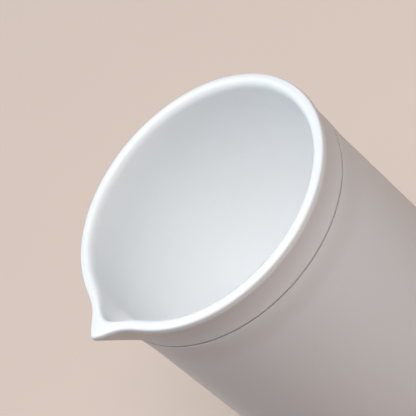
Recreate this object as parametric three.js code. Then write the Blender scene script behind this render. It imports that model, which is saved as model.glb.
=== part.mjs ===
import * as THREE from "three";

// A pouring beaker of low form with two walls. A vessel with a rolled lip, a collar and one spout
// hangs in an outer shell, and the collar carries the shell's outside on, flush above a fine seam.
// Lengths are in millimetres, angles in degrees. +Z is up, and +X is the way the beaker pours.
// The origin is on the axis, on the plane that the foot disc stands on.

// Overall
const overallHeight = 125;
const bodyRadius = 45; // outside of the shell near its mouth, below the swell
const outsideTaper = 0.015; // radius lost by each millimetre down the outside

// Lip and collar
const lipProud = 1.6; // beyond the body, at the rim
const lipOuterFillet = 2;
const lipLand = 0.2; // flat crest between the two fillets
const lipInnerFillet = 2.2; // across the lip
const lipInnerFall = 3.3; // and down the inside
const collarHeight = 12.7; // from the top of the lip to the seam
const collarFlarePower = 4; // 1 is a straight cone, and more keeps the flare close to the lip
const seamGap = 0.65;
const seamFillet = 0.1; // on both edges of the seam
const seamSwell = 0.5; // the outside swells by this much up to the seam
const seamSwellHeight = 12;

// Spout, as it bulges beyond the round lip and mouth. A half-width is the angle at which a bulge has
// fallen to about a third. A sharpness of 1 is a keen edge, and 2 is a round hump.
const spoutReach = 8.1;
const spoutHalfWidth = 7.5;
const spoutSharpness = 1.5;
const spoutKeel = 2.5; // what is left of the reach at the seam
const spoutBelly = 1.2; // 1 is a straight keel, and more makes it bow out
const spoutNarrowing = 0.37; // how much the bulge narrows as its reach falls
const channelReach = 5.4;
const channelCrest = 4.2; // its reach on the crest of the lip, where the inner fillet is tighter
const channelHalfWidth = 10.2;
const channelSharpness = 1.8;
const channelUpright = 4.5; // below the top of the lip the channel keeps its reach this far
const channelDepth = 12.2; // and has faded out this far

// Walls
const vesselWall = 2;
const vesselDraft = 3; // lean of the vessel's inside
const vesselCornerRadius = 14; // inside, between wall and floor
const shellWall = 1.4;
const shellFloor = 2.4;
const shellInnerCorner = 3;
const shellFootFillet = 3;

// Neck of the vessel, with the groove for the grip ring
const neckClearance = 0.3;
const neckLength = 15;
const neckChamfer = 1;
const grooveDepth = 0.9;
const grooveHeight = 3.2;
const grooveBelowSeam = 9; // from the seam to the groove's upper face

// Grip ring
const ringClearance = 0.12;
const ringEndClearance = 0.2;
const ringRib = 0.3; // how far its two ribs stand out
const ringRibWidth = 0.9;
const ringRibCrest = 0.4;
const ringRibInset = 0.8; // from the ring's edge to the middle of a rib

// Support dish and foot disc
const dishThickness = 1.5;
const dishRimHeight = 8;
const dishClearance = 0.3;
const footRadius = 34;
const footThickness = 2;
const footProud = 0.8;
const footChamfer = 0.4;
const filmGap = 0.1; // round a piece that is bonded in

// Steps round the axis
const turnedStep = 6;
const spoutStep = 1.5;
const spoutSpan = 27; // the finer steps lie this far to each side of the spout

// Steps along the sections
const cornerSteps = 6;
const edgeSteps = 3;
const footSteps = 5;
const swellSteps = 4;
const flareSteps = 6;
const lipSteps = 5;
const channelSteps = 6;

const radians = THREE.MathUtils.degToRad;

// Levels and radii that several pieces share
const collarBottom = overallHeight - collarHeight;
const shellTop = collarBottom - seamGap;
const shellBottom = footProud;
const shellFloorTop = shellBottom + (footThickness - footProud) + filmGap + shellFloor;
const dishBottom = shellFloorTop + filmGap;
const dishTop = dishBottom + dishThickness;
const vesselBottom = dishTop + dishClearance;
const vesselFloorTop = vesselBottom + vesselWall;
const collarRadius = bodyRadius + seamSwell;
const rimRadius = bodyRadius + lipProud;
const mouthRadius = rimRadius - lipOuterFillet - lipLand - lipInnerFillet;
const lipBottom = overallHeight - lipInnerFall;
const grooveTop = collarBottom - grooveBelowSeam;
const grooveBottom = grooveTop - grooveHeight;

const shellOutsideAt = (z) => bodyRadius - outsideTaper * (shellTop - z);
const shellInsideAt = (z) => shellOutsideAt(z) - shellWall;
const neckOutsideAt = (z) => shellInsideAt(z) - neckClearance;
const vesselInsideAt = (z) => mouthRadius - Math.tan(radians(vesselDraft)) * (lipBottom - z);
const grooveRadius = neckOutsideAt(grooveBottom) - grooveDepth;

// Centre of the round corner between the vessel's wall and floor
const cornerZ = vesselFloorTop + vesselCornerRadius;
const cornerR = vesselInsideAt(cornerZ) - vesselCornerRadius / Math.cos(radians(vesselDraft));

// Round stretch of a section: centre, radius, and the angles it starts and ends at. With another
// height it is part of an ellipse.
function arc(r, z, radius, from, to, steps, height = radius) {
  return Array.from({ length: steps + 1 }, (_, i) => {
    const angle = radians(from + ((to - from) * i) / steps);
    return { r: r + radius * Math.cos(angle), z: z + height * Math.sin(angle) };
  });
}

// Angles round the axis: even all the way round, or closer together over the spout
const evenAngles = Array.from({ length: 360 / turnedStep }, (_, i) => i * turnedStep);
const spoutAngles = [];
for (let angle = -spoutSpan; angle < spoutSpan; angle += spoutStep) spoutAngles.push(angle);
for (let angle = spoutSpan; angle < 360 - spoutSpan; angle += turnedStep) spoutAngles.push(angle);

// Turns a section into a closed body. Its points run from the bottom outwards, up and back in, or
// round a ring. A point's push, if it has one, gives the radius that it gains at an angle.
function turn(section, angles, isRing) {
  const positions = [];
  const faces = [];
  const rows = section.map((point) => {
    if (point.r === 0) {
      positions.push(0, 0, point.z);
      return Array(angles.length).fill(positions.length / 3 - 1);
    }
    return angles.map((angle) => {
      const r = point.r + (point.push ? point.push(angle) : 0);
      positions.push(r * Math.cos(radians(angle)), r * Math.sin(radians(angle)), point.z);
      return positions.length / 3 - 1;
    });
  });
  const lastRow = isRing ? rows.length : rows.length - 1;
  for (let i = 0; i < lastRow; i++) {
    const low = rows[i];
    const high = rows[(i + 1) % rows.length];
    for (let j = 0; j < angles.length; j++) {
      const k = (j + 1) % angles.length;
      if (low[j] !== low[k]) faces.push(low[j], low[k], high[j]);
      if (high[j] !== high[k]) faces.push(low[k], high[k], high[j]);
    }
  }
  const geometry = new THREE.BufferGeometry();
  geometry.setAttribute("position", new THREE.Float32BufferAttribute(positions, 3));
  geometry.setIndex(faces);
  geometry.computeVertexNormals();
  return geometry;
}

// How far a bulge of the spout reaches at an angle from its middle
function bulge(angle, reach, halfWidth, sharpness) {
  const away = Math.abs(((angle + 540) % 360) - 180);
  return reach * Math.exp(-((away / halfWidth) ** sharpness));
}

// The spout's outside runs from its full reach at the lip to the keel at the seam
const outerPush = (z) => (angle) => {
  const share = THREE.MathUtils.clamp((z - collarBottom) / (collarHeight - lipOuterFillet), 0, 1);
  const reach = spoutReach - (spoutReach - spoutKeel) * (1 - share) ** spoutBelly;
  const halfWidth = spoutHalfWidth * (reach / spoutReach) ** spoutNarrowing;
  return bulge(angle, reach, halfWidth, spoutSharpness);
};

// The channel is upright below the lip and then fades out down the inside
const innerPush = (z) => (angle) => {
  const share = THREE.MathUtils.smoothstep(z, overallHeight - channelDepth, overallHeight - channelUpright);
  const crest = Math.max((z - lipBottom) / lipInnerFall, 0);
  const reach = channelReach * share - (channelReach - channelCrest) * crest;
  return bulge(angle, reach, channelHalfWidth, channelSharpness);
};

// Pouring vessel: floor, drafted wall, neck with its groove, collar, lip and spout in one piece
function pouringVessel() {
  const wall = vesselWall / Math.cos(radians(vesselDraft));
  const neckBottom = collarBottom - neckLength;
  const neckFoot = neckBottom - neckChamfer;
  const outside = [
    { r: 0, z: vesselBottom },
    ...arc(cornerR, cornerZ, vesselCornerRadius + vesselWall, -90, -vesselDraft, cornerSteps),
    { r: vesselInsideAt(neckFoot) + wall, z: neckFoot },
    { r: neckOutsideAt(neckBottom), z: neckBottom },
    { r: neckOutsideAt(grooveBottom), z: grooveBottom },
    { r: grooveRadius, z: grooveBottom },
    { r: grooveRadius, z: grooveTop },
    { r: neckOutsideAt(grooveTop), z: grooveTop },
    { r: neckOutsideAt(collarBottom), z: collarBottom },
  ];

  // The collar is nearly upright over the shell and leans out more and more towards the lip
  const flareBottom = collarBottom + seamFillet;
  const flareTop = overallHeight - lipOuterFillet;
  const flareHeight = flareTop - flareBottom;
  const lean = Math.atan((collarFlarePower * (rimRadius - collarRadius)) / flareHeight);
  const leanDegrees = THREE.MathUtils.radToDeg(lean);
  const edge = arc(collarRadius - seamFillet, flareBottom, seamFillet, -90, 0, edgeSteps);
  const lipOutside = arc(rimRadius - lipOuterFillet, flareTop, lipOuterFillet, -leanDegrees, 90, lipSteps);
  const flare = [];
  for (let i = 1; i < flareSteps; i++) {
    const share = i / flareSteps;
    const r = collarRadius + (lipOutside[0].r - collarRadius) * share ** collarFlarePower;
    flare.push({ r, z: flareBottom + (lipOutside[0].z - flareBottom) * share });
  }

  const lipInsideR = mouthRadius + lipInnerFillet;
  const lipEnd = 180 - vesselDraft;
  const lipInside = arc(lipInsideR, lipBottom, lipInnerFillet, 90, lipEnd, lipSteps, lipInnerFall);
  const channel = [];
  for (let i = 1; i <= channelSteps; i++) {
    const z = lipBottom - ((channelDepth - lipInnerFall) * i) / channelSteps;
    channel.push({ r: vesselInsideAt(z), z });
  }
  const inside = [
    ...arc(cornerR, cornerZ, vesselCornerRadius, -vesselDraft, -90, cornerSteps),
    { r: 0, z: vesselFloorTop },
  ];

  for (const point of [...edge, ...flare, ...lipOutside]) point.push = outerPush(point.z);
  for (const point of [...lipInside, ...channel]) point.push = innerPush(point.z);
  const section = [...outside, ...edge, ...flare, ...lipOutside, ...lipInside, ...channel, ...inside];
  return turn(section, spoutAngles, false);
}

// Outer shell: a drafted cup that swells to the seam, with a recess under its floor for the foot disc
function outerShell() {
  const recessRadius = footRadius + filmGap;
  const recessTop = footThickness + filmGap;
  const footZ = shellBottom + shellFootFillet;
  const footR = shellOutsideAt(footZ) - shellFootFillet;
  const mouthZ = shellTop - seamFillet;
  const mouthOutside = collarRadius - seamFillet;
  const mouthInside = shellInsideAt(shellTop) + seamFillet;
  const innerCornerR = shellInsideAt(shellFloorTop) - shellInnerCorner;
  const swell = [];
  for (let i = 0; i < swellSteps; i++) {
    const z = shellTop - seamSwellHeight * (1 - i / swellSteps);
    const share = THREE.MathUtils.smoothstep(z, shellTop - seamSwellHeight, shellTop);
    swell.push({ r: shellOutsideAt(z) + seamSwell * share, z });
  }
  return turn(
    [
      { r: 0, z: recessTop },
      { r: recessRadius, z: recessTop },
      { r: recessRadius, z: shellBottom },
      ...arc(footR, footZ, shellFootFillet, -90, 0, footSteps),
      ...swell,
      ...arc(mouthOutside, mouthZ, seamFillet, 0, 90, edgeSteps),
      ...arc(mouthInside, mouthZ, seamFillet, 90, 180, edgeSteps),
      ...arc(innerCornerR, shellFloorTop + shellInnerCorner, shellInnerCorner, 0, -90, footSteps),
      { r: 0, z: shellFloorTop },
    ],
    evenAngles,
    false,
  );
}

// Grip ring: a soft band in the vessel's groove, with two ribs that press on the shell
function gripRing() {
  const bottom = grooveBottom + ringEndClearance;
  const top = grooveTop - ringEndClearance;
  const inside = grooveRadius + ringClearance;
  const ribTip = shellInsideAt(bottom) - ringClearance;
  const band = ribTip - ringRib;
  const rib = (z) => [
    { r: band, z: z - ringRibWidth / 2 },
    { r: ribTip, z: z - ringRibCrest / 2 },
    { r: ribTip, z: z + ringRibCrest / 2 },
    { r: band, z: z + ringRibWidth / 2 },
  ];
  return turn(
    [
      { r: inside, z: bottom },
      { r: band, z: bottom },
      ...rib(bottom + ringRibInset),
      ...rib(top - ringRibInset),
      { r: band, z: top },
      { r: inside, z: top },
    ],
    evenAngles,
    true,
  );
}

// Support dish: a soft moulding between the two floors, whose rim centres the vessel
function supportDish() {
  const nest = vesselCornerRadius + vesselWall + dishClearance;
  const rimTop = dishBottom + dishRimHeight;
  const outsideRadius = shellInsideAt(dishBottom) - filmGap;
  const footR = outsideRadius - shellInnerCorner;
  const footZ = dishBottom + shellInnerCorner;
  const nestEnd = THREE.MathUtils.radToDeg(Math.asin((rimTop - cornerZ) / nest));
  return turn(
    [
      { r: 0, z: dishBottom },
      ...arc(footR, footZ, shellInnerCorner, -90, 0, footSteps),
      { r: outsideRadius, z: rimTop },
      ...arc(cornerR, cornerZ, nest, nestEnd, -90, footSteps),
      { r: 0, z: dishTop },
    ],
    evenAngles,
    false,
  );
}

// Foot disc: a soft disc bonded into the recess under the shell
function footDisc() {
  return turn(
    [
      { r: 0, z: 0 },
      { r: footRadius - footChamfer, z: 0 },
      { r: footRadius, z: footChamfer },
      { r: footRadius, z: footThickness },
      { r: 0, z: footThickness },
    ],
    evenAngles,
    false,
  );
}

function piece(name, geometry, color, roughness) {
  const material = new THREE.MeshStandardMaterial({ color, roughness, metalness: 0 });
  const mesh = new THREE.Mesh(geometry, material);
  mesh.name = name;
  return mesh;
}

const whiteMoulding = "#f2f1f0";
const silicone = "#c9c7c5";

const beaker = new THREE.Group();
beaker.name = "pouring_beaker";
beaker.add(
  piece("pouring_vessel", pouringVessel(), whiteMoulding, 0.3),
  piece("outer_shell", outerShell(), whiteMoulding, 0.3),
  piece("grip_ring", gripRing(), silicone, 0.7),
  piece("support_dish", supportDish(), silicone, 0.7),
  piece("foot_disc", footDisc(), silicone, 0.7),
);

export default beaker;
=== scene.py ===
from math import atan2, cos, exp, pi, radians, sin, tan

import bpy
from mathutils import Euler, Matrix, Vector


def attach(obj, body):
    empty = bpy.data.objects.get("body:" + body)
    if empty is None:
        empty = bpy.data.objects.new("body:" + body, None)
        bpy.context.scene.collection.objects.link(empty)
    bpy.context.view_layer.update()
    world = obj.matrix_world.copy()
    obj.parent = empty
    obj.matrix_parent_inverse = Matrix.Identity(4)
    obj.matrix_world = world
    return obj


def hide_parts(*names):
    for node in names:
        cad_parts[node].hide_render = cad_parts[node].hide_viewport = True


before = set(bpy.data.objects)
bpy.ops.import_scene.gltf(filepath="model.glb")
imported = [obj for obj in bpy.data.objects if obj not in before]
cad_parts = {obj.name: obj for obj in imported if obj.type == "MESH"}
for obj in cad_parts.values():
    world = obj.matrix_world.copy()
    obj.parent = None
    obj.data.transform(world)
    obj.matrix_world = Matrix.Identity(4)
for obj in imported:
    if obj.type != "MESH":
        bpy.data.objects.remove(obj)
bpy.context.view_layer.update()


# Outer shell. A drafted cup of white plastic, moulded in one piece, with a shallow recess under its
# floor. It carries the vessel and gives the beaker its outside up to the seam. The sizes of all the
# pieces are in millimetres.
metre = 1000
shell_mouth_radius = 45.0
shell_mouth_height = 111.65
shell_taper = 0.015
shell_wall = 1.4
shell_bottom = 0.8
shell_foot_fillet = 3.0
shell_floor_top = 4.5
shell_floor_fillet = 3.0
recess_radius = 34.1
recess_ceiling = 2.1
recess_fillet = 0.15
recess_edge_fillet = 0.3
seam_swell = 0.5
seam_swell_height = 12.0
seam_swell_steps = 25
seam_fillet = 0.1
# Heights between which the faces in the seam get painted shade.
seam_shade_low = 111.5
seam_shade_high = 112.45
sharp_edge = radians(50)
full_turn = [float(degree) for degree in range(360)]
moulded_whites = (0.895, 0.893, 0.886), (0.925, 0.923, 0.916)
moulded_roughness = 0.30
# A darker white painted on the faces in the seam as the seam's shade, with a duller roughness.
seam_shade_whites = (0.63, 0.58, 0.56), (0.67, 0.62, 0.6)
seam_face_roughness = 0.55


def shell_inside(z):
    return shell_mouth_radius - shell_wall - shell_taper * (shell_mouth_height - z)


def eased(share):
    """Runs from 0 to 1 as share does, and is level at both ends."""
    return share * share * (3 - 2 * share)


def softened(corners, steps=8):
    """A section's points (r, z), from corners (r, z, fillet) that are rounded in equal steps."""
    points = []
    for i, (r, z, fillet) in enumerate(corners):
        if fillet == 0:
            points.append((r, z))
            continue
        corner = Vector((r, z))
        before = Vector(corners[i - 1][:2]) - corner
        after = Vector(corners[(i + 1) % len(corners)][:2]) - corner
        half = before.angle(after) / 2
        inward = (before.normalized() + after.normalized()).normalized()
        centre = corner + inward * fillet / sin(half)
        start = corner + before.normalized() * fillet / tan(half) - centre
        turn = (pi - 2 * half) * (1 if before.cross(after) < 0 else -1)
        for k in range(steps + 1):
            angle = atan2(start.y, start.x) + turn * k / steps
            points.append((centre.x + fillet * cos(angle), centre.y + fillet * sin(angle)))
    return points


def turned(name, section_at, angles, ring=False):
    """A closed body from its section (r, z) at each angle round the axis.

    The section runs from the axis and back to it, or round to its own start for a ring.
    """
    sections = [section_at(angle) for angle in angles]
    rows = len(sections[0])
    vertices = []
    index = {}
    for row in range(rows):
        for column, angle in enumerate(angles):
            r, z = sections[column][row]
            if r == 0 and column > 0:
                index[row, column] = index[row, 0]
                continue
            index[row, column] = len(vertices)
            x, y = r * cos(radians(angle)), r * sin(radians(angle))
            vertices.append((x / metre, y / metre, z / metre))
    faces = []
    for row in range(rows if ring else rows - 1):
        above = (row + 1) % rows
        for column in range(len(angles)):
            following = (column + 1) % len(angles)
            places = (row, column), (row, following), (above, following), (above, column)
            faces.append(list(dict.fromkeys(index[place] for place in places)))
    mesh = bpy.data.meshes.new(name)
    mesh.from_pydata(vertices, [], faces)
    mesh.shade_smooth()
    mesh.set_sharp_from_angle(angle=sharp_edge)
    piece = bpy.data.objects.new(name, mesh)
    bpy.context.scene.collection.objects.link(piece)
    return piece


class Look:
    """A value, colour or vector in a material, so that a finish can be written as an expression."""

    def __init__(self, tree, socket=None):
        self.tree = tree
        self.socket = socket

    def add(self, kind, settings=None, inputs=None, output=0):
        """Adds a node with its settings and its sockets' values or links, and gives its output."""
        node = self.tree.nodes.new(kind)
        for name, value in (settings or {}).items():
            setattr(node, name, value)
        for name, value in (inputs or {}).items():
            if isinstance(value, Look):
                self.tree.links.new(value.socket, node.inputs[name])
            else:
                node.inputs[name].default_value = value
        return Look(self.tree, node.outputs[output] if len(node.outputs) else None)

    def __add__(self, other):
        return self.add("ShaderNodeMath", {"operation": "ADD"}, {0: self, 1: other})

    def __mul__(self, other):
        return self.add("ShaderNodeMath", {"operation": "MULTIPLY"}, {0: self, 1: other})

    __radd__ = __add__
    __rmul__ = __mul__

    def between(self, low, high):
        """A colour from low to high, each a colour or a link, as this value goes from 0 to 1."""
        low, high = (end if isinstance(end, Look) else (*end, 1) for end in (low, high))
        # A Mix node has its colours in sockets 6 and 7, and their mixture in output 2.
        sockets = {0: self, 6: low, 7: high}
        return self.add("ShaderNodeMix", {"data_type": "RGBA"}, sockets, output=2)


def new_finish(name):
    """An empty material, and its Look to build the finish from."""
    material = bpy.data.materials.new(name)
    material.use_nodes = True
    material.node_tree.nodes.clear()
    return material, Look(material.node_tree)


def mottle(place, seed, scale, detail, roughness):
    """An uneven pattern that is fixed to the piece, finer where the scale is higher."""
    inputs = {"Vector": place, "W": seed, "Scale": scale, "Detail": detail, "Roughness": roughness}
    return place.add("ShaderNodeTexNoise", {"noise_dimensions": "4D"}, inputs)


def cover(look, inputs):
    """Ends a finish with its shader and the shader's values or links."""
    shader = look.add("ShaderNodeBsdfPrincipled", None, inputs)
    look.add("ShaderNodeOutputMaterial", None, {"Surface": shader})


def white_moulding(name, seed, whites=moulded_whites, roughness=moulded_roughness):
    """Satin white plastic: nearly even, faintly cloudy, with the fine peel of a moulded skin."""
    material, look = new_finish(name)
    place = look.add("ShaderNodeTexCoord", output="Object")
    clouds = mottle(place, seed, scale=22.0, detail=3.0, roughness=0.55)
    peel = mottle(place, seed, scale=420.0, detail=2.0, roughness=0.5)
    waves = mottle(place, seed + 3.0, scale=38.0, detail=1.0, roughness=0.4)
    skin = {"Strength": 0.5, "Distance": 0.00006, "Height": peel * 0.3 + waves}
    cover(look, {
        "Base Color": clouds.between(*whites),
        "Roughness": clouds * 0.14 + roughness,
        "Normal": look.add("ShaderNodeBump", None, skin),
        "IOR": 1.5,
        "Specular IOR Level": 0.35,
        "Coat Weight": 0.1,
        "Coat Roughness": 0.25,
    })
    return material


def paint_seam_shade(piece, seed):
    """Gives the faces that meet in the seam a darker, duller white: painted shade for the shadow in
    the narrow seam.
    """
    name = piece.name + "_parting"
    piece.data.materials.append(white_moulding(name, seed, seam_shade_whites, seam_face_roughness))
    # Faces in the seam, outside the shell's bore, get the painted shade.
    for face in piece.data.polygons:
        middle = face.center * metre
        outward = middle.xy.length > shell_mouth_radius - shell_wall
        if outward and seam_shade_low < middle.z < seam_shade_high:
            face.material_index = 1


def shell_section(angle):
    swell = []
    for k in range(seam_swell_steps - 1):
        share = k / seam_swell_steps
        z = shell_mouth_height - seam_swell_height * (1 - share)
        swell.append((shell_inside(z) + shell_wall + seam_swell * eased(share), z, 0))
    return softened([
        (0, recess_ceiling, 0),
        (recess_radius, recess_ceiling, recess_fillet),
        (recess_radius, shell_bottom, recess_edge_fillet),
        (shell_inside(shell_bottom) + shell_wall, shell_bottom, shell_foot_fillet),
        *swell,
        (shell_mouth_radius + seam_swell, shell_mouth_height, seam_fillet),
        (shell_mouth_radius - shell_wall, shell_mouth_height, seam_fillet),
        (shell_inside(shell_floor_top), shell_floor_top, shell_floor_fillet),
        (0, shell_floor_top, 0),
    ])


shell = turned("outer_shell_moulding", shell_section, full_turn)
shell.data.materials.append(white_moulding("shell_white", 1.0))
# Painted shade on the faces in the seam.
paint_seam_shade(shell, 6.0)
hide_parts("outer_shell")
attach(shell, "shell")


# Foot disc. A soft grey disc with a chamfered edge, moulded in silicone and bonded into the recess
# under the shell. The beaker stands on it.
bond_film = 0.1
foot_radius = recess_radius - bond_film
foot_top = recess_ceiling - bond_film
foot_top_fillet = 0.2
foot_chamfer_width = 0.2
foot_chamfer_height = 0.4
foot_chamfer_fillet = 0.25
silicone_greys = (0.50, 0.49, 0.48), (0.60, 0.59, 0.575)


def silicone(name, seed):
    """Matte silicone rubber with a fine grain and a faint bloom on it."""
    material, look = new_finish(name)
    place = look.add("ShaderNodeTexCoord", output="Object")
    grain = mottle(place, seed, scale=900.0, detail=3.0, roughness=0.6)
    bloom = mottle(place, seed, scale=60.0, detail=4.0, roughness=0.6)
    skin = {"Strength": 0.6, "Distance": 0.00004, "Height": grain}
    cover(look, {
        "Base Color": bloom.between(*silicone_greys),
        "Roughness": grain * 0.15 + 0.52,
        "Normal": look.add("ShaderNodeBump", None, skin),
        "IOR": 1.41,
    })
    return material


def foot_section(angle):
    return softened([
        (0, 0, 0),
        (foot_radius - foot_chamfer_width, 0, foot_chamfer_fillet),
        (foot_radius, foot_chamfer_height, foot_chamfer_fillet),
        (foot_radius, foot_top, foot_top_fillet),
        (0, foot_top, 0),
    ])


foot = turned("foot_disc_moulding", foot_section, full_turn)
foot.data.materials.append(silicone("foot_silicone", 2.0))
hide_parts("foot_disc")
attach(foot, "shell")


# Support dish. A soft silicone dish bonded to the shell's floor. The vessel stands in its bowl, which
# follows the vessel's rounded foot and centres it.
vessel_bottom = 6.4
vessel_wall = 2.0
vessel_draft = radians(3)
vessel_corner = 14.0
mouth_radius = 42.2
overall_height = 125.0
lip_inner_fall = 3.3
dish_bottom = shell_floor_top + bond_film
dish_top = 12.6
dish_edge_fillet = 0.3
dish_clearance = 0.3
bowl_steps = 24


def vessel_inside(z):
    return mouth_radius - tan(vessel_draft) * (overall_height - lip_inner_fall - z)


def dish_section(angle):
    edge = shell_inside(dish_bottom) - bond_film
    corner_z = vessel_bottom + vessel_wall + vessel_corner
    corner_r = vessel_inside(corner_z) - vessel_corner / cos(vessel_draft)
    nest = vessel_corner + vessel_wall + dish_clearance
    rim = atan2(dish_top - corner_z, nest)
    bowl = []
    for k in range(bowl_steps + 1):
        down = rim - (rim + pi / 2) * k / bowl_steps
        bowl.append((corner_r + nest * cos(down), corner_z + nest * sin(down)))
    outside = softened([
        (0, dish_bottom, 0),
        (edge, dish_bottom, shell_floor_fillet),
        (edge, dish_top, dish_edge_fillet),
    ])
    return outside + bowl + [(0, vessel_bottom - dish_clearance)]


dish = turned("support_dish_moulding", dish_section, full_turn)
dish.data.materials.append(silicone("dish_silicone", 3.0))
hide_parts("support_dish")
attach(dish, "shell")


# Grip ring. A soft band, moulded in silicone, in the groove of the vessel's neck. Its two ribs press
# on the shell and hold the vessel.
running_gap = 0.3
groove_top = 103.3
groove_bottom = 100.1
groove_depth = 0.9
groove_radius = shell_inside(groove_bottom) - running_gap - groove_depth
ring_clearance = 0.12
ring_end_gap = 0.2
ring_fillet = 0.15
rib_height = 0.3
rib_place = 1.0
rib_half_foot = 0.45
rib_half_crest = 0.2
rib_foot_fillet = 0.1
rib_crest_fillet = 0.12


def ring_section(angle):
    inside = groove_radius + ring_clearance
    tip = shell_inside(groove_bottom) - ring_clearance
    band = tip - rib_height
    bottom, top = groove_bottom + ring_end_gap, groove_top - ring_end_gap
    corners = [(inside, bottom, ring_fillet), (band, bottom, ring_fillet)]
    for middle in (groove_bottom + rib_place, groove_top - rib_place):
        corners += [
            (band, middle - rib_half_foot, rib_foot_fillet),
            (tip, middle - rib_half_crest, rib_crest_fillet),
            (tip, middle + rib_half_crest, rib_crest_fillet),
            (band, middle + rib_half_foot, rib_foot_fillet),
        ]
    corners += [(band, top, ring_fillet), (inside, top, ring_fillet)]
    return softened(corners, steps=4)


ring = turned("grip_ring_band", ring_section, full_turn, ring=True)
ring.data.materials.append(silicone("ring_silicone", 4.0))
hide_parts("grip_ring")
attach(ring, "ring")


# Pouring vessel. One moulding in white plastic: a drafted cup with a round foot, a neck that seats
# in the shell, a land that closes the seam, a collar flush with the shell, a rolled lip, and a spout
# drawn out of collar and lip.
neck_length = 15
neck_step = 1
neck_fillet = 0.4
groove_fillet = 0.2
groove_edge_fillet = 0.15
collar_radius = 45.5
collar_bottom = 112.3
land_height = 111.75
seam_depth = 0.25
flare_steps = 24
rim_radius = 46.55
lip_slope = radians(20)
lip_outer_fillet = 1
lip_fillet_height = 123.65
lip_flank = 1.3
lip_flank_lean = radians(7)
lip_flank_steps = 8
lip_inner_fillet = 2.2
lip_steps = 12
spout_reach = 8.1
spout_full_height = 123.0
spout_half_width = 7.5
spout_sharpness = 1.5
spout_keel = 2.5
spout_belly = 1.2
spout_narrowing = 0.37
channel_reach = 5.4
channel_crest = 4.2
channel_half_width = 10.2
channel_sharpness = 1.8
channel_depth = 12.2
channel_upright = 4.5
channel_steps = 24
plain_wall_top = 110


def spout_bulge(angle, reach, half_width, sharpness):
    away = abs((angle + 180) % 360 - 180)
    return reach * exp(-((away / half_width) ** sharpness))


def spout_outside(z, angle):
    """How far the spout stands out of the collar: fully at the lip, as a keel at the seam."""
    share = min(max((z - collar_bottom) / (spout_full_height - collar_bottom), 0), 1)
    reach = spout_reach - (spout_reach - spout_keel) * (1 - share) ** spout_belly
    half_width = spout_half_width * (reach / spout_reach) ** spout_narrowing
    return spout_bulge(angle, reach, half_width, spout_sharpness)


def spout_channel(z, angle):
    """How far the channel is hollowed out of the inside: upright near the lip, then fading out."""
    share = min(max((z - overall_height + channel_depth) / (channel_depth - channel_upright), 0), 1)
    crest = max((z - overall_height + lip_inner_fall) / lip_inner_fall, 0)
    reach = channel_reach * eased(share) - (channel_reach - channel_crest) * crest
    return spout_bulge(angle, reach, channel_half_width, channel_sharpness)


def neck_and_foot():
    """The outside of the cup and its neck, from the axis up to the land behind the seam."""
    wall = vessel_wall / cos(vessel_draft)
    neck_bottom = collar_bottom - neck_length
    return softened([
        (0, vessel_bottom, 0),
        (vessel_inside(vessel_bottom) + wall, vessel_bottom, vessel_corner + vessel_wall),
        (vessel_inside(neck_bottom - neck_step) + wall, neck_bottom - neck_step, neck_fillet),
        (shell_inside(neck_bottom) - running_gap, neck_bottom, neck_fillet),
        (shell_inside(groove_bottom) - running_gap, groove_bottom, groove_edge_fillet),
        (groove_radius, groove_bottom, groove_fillet),
        (groove_radius, groove_top, groove_fillet),
        (shell_inside(groove_top) - running_gap, groove_top, groove_edge_fillet),
        (shell_inside(collar_bottom) - running_gap, land_height, 0),
        (collar_radius - seam_depth, land_height, 0),
    ])


def collar_and_lip():
    """The outside from the seam to the crest: the collar's edge, flare and flank, and the lip."""
    # The last corner only shows the fillet that the collar goes on upwards, and is left out again.
    edge = softened([
        (collar_radius - seam_depth, collar_bottom, 0),
        (collar_radius, collar_bottom, seam_fillet),
        (collar_radius, overall_height, 0),
    ])[:-1]
    flank_top = lip_fillet_height + lip_outer_fillet * sin(lip_flank_lean)
    flank_radius = rim_radius - lip_outer_fillet * (1 - cos(lip_flank_lean))
    flare_bottom = collar_bottom + seam_fillet
    flare_top = flank_top - lip_flank
    flare_radius = flank_radius + lip_flank * tan(lip_flank_lean) / 2
    flare = []
    for k in range(1, flare_steps):
        share = k / flare_steps
        r = collar_radius + (flare_radius - collar_radius) * share ** 2
        flare.append((r, flare_bottom + (flare_top - flare_bottom) * share))
    for k in range(lip_flank_steps):
        share = k / lip_flank_steps
        r = flank_radius + (flare_radius - flank_radius) * (1 - share ** 2)
        flare.append((r, flank_top - lip_flank * (1 - share)))
    lip = []
    for k in range(lip_steps + 1):
        roll = lip_flank_lean + (pi / 2 - lip_slope - lip_flank_lean) * k / lip_steps
        r = rim_radius - lip_outer_fillet * (1 - cos(roll))
        lip.append((r, lip_fillet_height + lip_outer_fillet * sin(roll)))
    return edge + flare + lip


def mouth_and_floor():
    """The inside from the crest of the lip, down through the channel's height, to the axis."""
    lip = []
    crest_turn = atan2(tan(lip_slope) * lip_inner_fillet, lip_inner_fall)
    for k in range(lip_steps + 1):
        roll = (pi / 2 - vessel_draft + crest_turn) * k / lip_steps - crest_turn
        r = mouth_radius + lip_inner_fillet * (1 - sin(roll))
        lip.append((r, overall_height - lip_inner_fall * (1 - cos(roll))))
    channel = []
    for k in range(1, channel_steps):
        z = overall_height - lip_inner_fall - (channel_depth - lip_inner_fall) * k / channel_steps
        channel.append((vessel_inside(z), z))
    floor_top = vessel_bottom + vessel_wall
    cup = softened([
        (vessel_inside(plain_wall_top), plain_wall_top, 0),
        (vessel_inside(floor_top), floor_top, vessel_corner),
        (0, floor_top, 0),
    ])
    return lip + channel + cup


def vessel_section(angle):
    section = neck_and_foot()
    section += [(r + spout_outside(z, angle), z) for r, z in collar_and_lip()]
    section += [(r + spout_channel(z, angle), z) for r, z in mouth_and_floor()]
    return section


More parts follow.
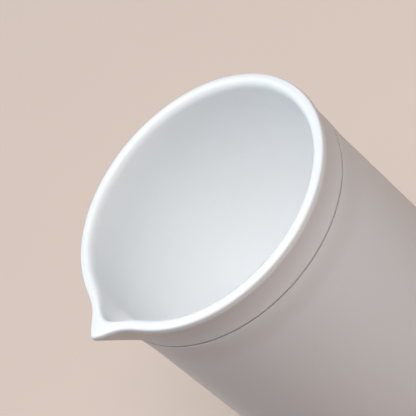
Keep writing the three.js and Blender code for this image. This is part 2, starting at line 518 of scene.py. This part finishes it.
spout_sector = 40
fine_step = 0.5
coarse_step = 1.25
fine_count = round(2 * spout_sector / fine_step)
coarse_count = round((360 - 2 * spout_sector) / coarse_step)
near_spout = [-spout_sector + fine_step * k for k in range(fine_count)]
round_the_back = [spout_sector + coarse_step * k for k in range(coarse_count)]
vessel = turned("pouring_vessel_moulding", vessel_section, near_spout + round_the_back)
vessel.data.materials.append(white_moulding("vessel_white", 5.0))
# Painted shade on the faces in the seam.
paint_seam_shade(vessel, 7.0)
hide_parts("pouring_vessel")
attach(vessel, "vessel")


# Floor and surroundings. A plain beige sheet of paper, a hair below the beaker's foot, that meets a
# background of the same colour far behind it. About half of the paleness that is seen of it is its
# own, so that it stays pale while the lamps suit the beaker. Its sizes are in metres.
floor_reach = 4
floor_height = -0.0001
black = (0.0, 0.0, 0.0)
paper_tones = (0.370, 0.292, 0.244), (0.382, 0.300, 0.250)
paper_bounce = (0.32, 0.232, 0.20)
paper_glow = (0.345, 0.289, 0.256)
sky_tone = (0.69, 0.577, 0.512)


def seen_directly(look):
    """1 where a surface is seen, also by reflection or through something, and 0 for its light."""
    rays = "Is Camera Ray", "Is Glossy Ray", "Is Transmission Ray"
    direct, mirrored, through = (look.add("ShaderNodeLightPath", output=ray) for ray in rays)
    either = {"operation": "ADD", "use_clamp": True}
    return look.add("ShaderNodeMath", either, {0: direct + mirrored, 1: through})


floor_sides = (-1, -1), (1, -1), (1, 1), (-1, 1)
floor_corners = [(x * floor_reach, y * floor_reach, floor_height) for x, y in floor_sides]
floor_mesh = bpy.data.meshes.new("floor")
floor_mesh.from_pydata(floor_corners, [], [(0, 1, 2, 3)])
floor = bpy.data.objects.new("floor", floor_mesh)
bpy.context.scene.collection.objects.link(floor)
paper, paper_look = new_finish("beige_paper")
paper_grain = paper_look.add("ShaderNodeTexNoise", None, {"Scale": 300.0, "Detail": 2.0})
paper_seen = seen_directly(paper_look)
cover(paper_look, {
    "Base Color": paper_seen.between(paper_bounce, paper_grain.between(*paper_tones)),
    "Emission Color": paper_seen.between(black, paper_glow),
    "Emission Strength": 1.0,
    "Roughness": 0.9,
    "Specular IOR Level": 0.1,
})
floor_mesh.materials.append(paper)

surroundings = bpy.data.worlds.new("surroundings")
bpy.context.scene.world = surroundings
surroundings.use_nodes = True
surroundings.node_tree.nodes.clear()
sky = Look(surroundings.node_tree)
sky_shade = seen_directly(sky).between(black, sky_tone)
sky_light = sky.add("ShaderNodeBackground", None, {"Color": sky_shade, "Strength": 1.0})
sky.add("ShaderNodeOutputWorld", None, {"Surface": sky_light})


# Lights. Round soft panels that face the beaker's neck. Two cool ones stand high behind the beaker
# and two nearly white ones high on the camera's side, with a small warm one low down on that side
# and a weak one on the side of the spout.
beaker_neck = Vector((0, 0, 0.1))
panel_distance = 1.5


def panel(name, azimuth, height, size, power, colour):
    lamp = bpy.data.lights.new(name, "AREA")
    lamp.shape = "DISK"
    lamp.size = size
    lamp.energy = power
    lamp.color = colour
    azimuth, height = radians(azimuth), radians(height)
    way = Vector((cos(height) * cos(azimuth), cos(height) * sin(azimuth), sin(height)))
    carrier = bpy.data.objects.new(name, lamp)
    carrier.location = beaker_neck + way * panel_distance
    carrier.rotation_euler = way.to_track_quat("Z", "Y").to_euler()
    bpy.context.scene.collection.objects.link(carrier)


panel("far_panel", 300, 65, 0.8, 7.10, (0.76, 0.88, 1))
panel("key_panel", 330, 65, 0.8, 8.40, (0.77, 0.89, 1))
panel("near_panel", 98, 62, 0.8, 5.10, (1, 0.97, 0.98))
panel("side_panel", 112, 67, 0.8, 9.80, (0.95, 0.965, 1))
panel("low_panel", 110, 3, 0.3, 3.40, (1, 0.93, 0.9))
panel("spout_panel", 345, 12, 0.8, 1.00, (0.93, 0.93, 1))


# Camera. A long lens from far off, at the angle from which the beaker's mouth and spout were seen,
# and rolled, so that the beaker leans across the picture. Light that goes to and fro in the white
# cup needs many bounces.
white_cup_bounces = 16
camera_data = bpy.data.cameras.new("camera")
camera_data.lens = 330.8
camera_data.sensor_width = 36
camera_data.clip_end = 20
camera = bpy.data.objects.new("camera", camera_data)
camera.location = (0.072137, 0.916139, 0.884144)
camera.rotation_euler = Euler((radians(38.2241), radians(35.4974), radians(139.1101)))
bpy.context.scene.collection.objects.link(camera)
bpy.context.scene.camera = camera
bpy.context.scene.view_settings.view_transform = "Standard"
bpy.context.scene.cycles.diffuse_bounces = white_cup_bounces
bpy.context.scene.cycles.max_bounces = white_cup_bounces
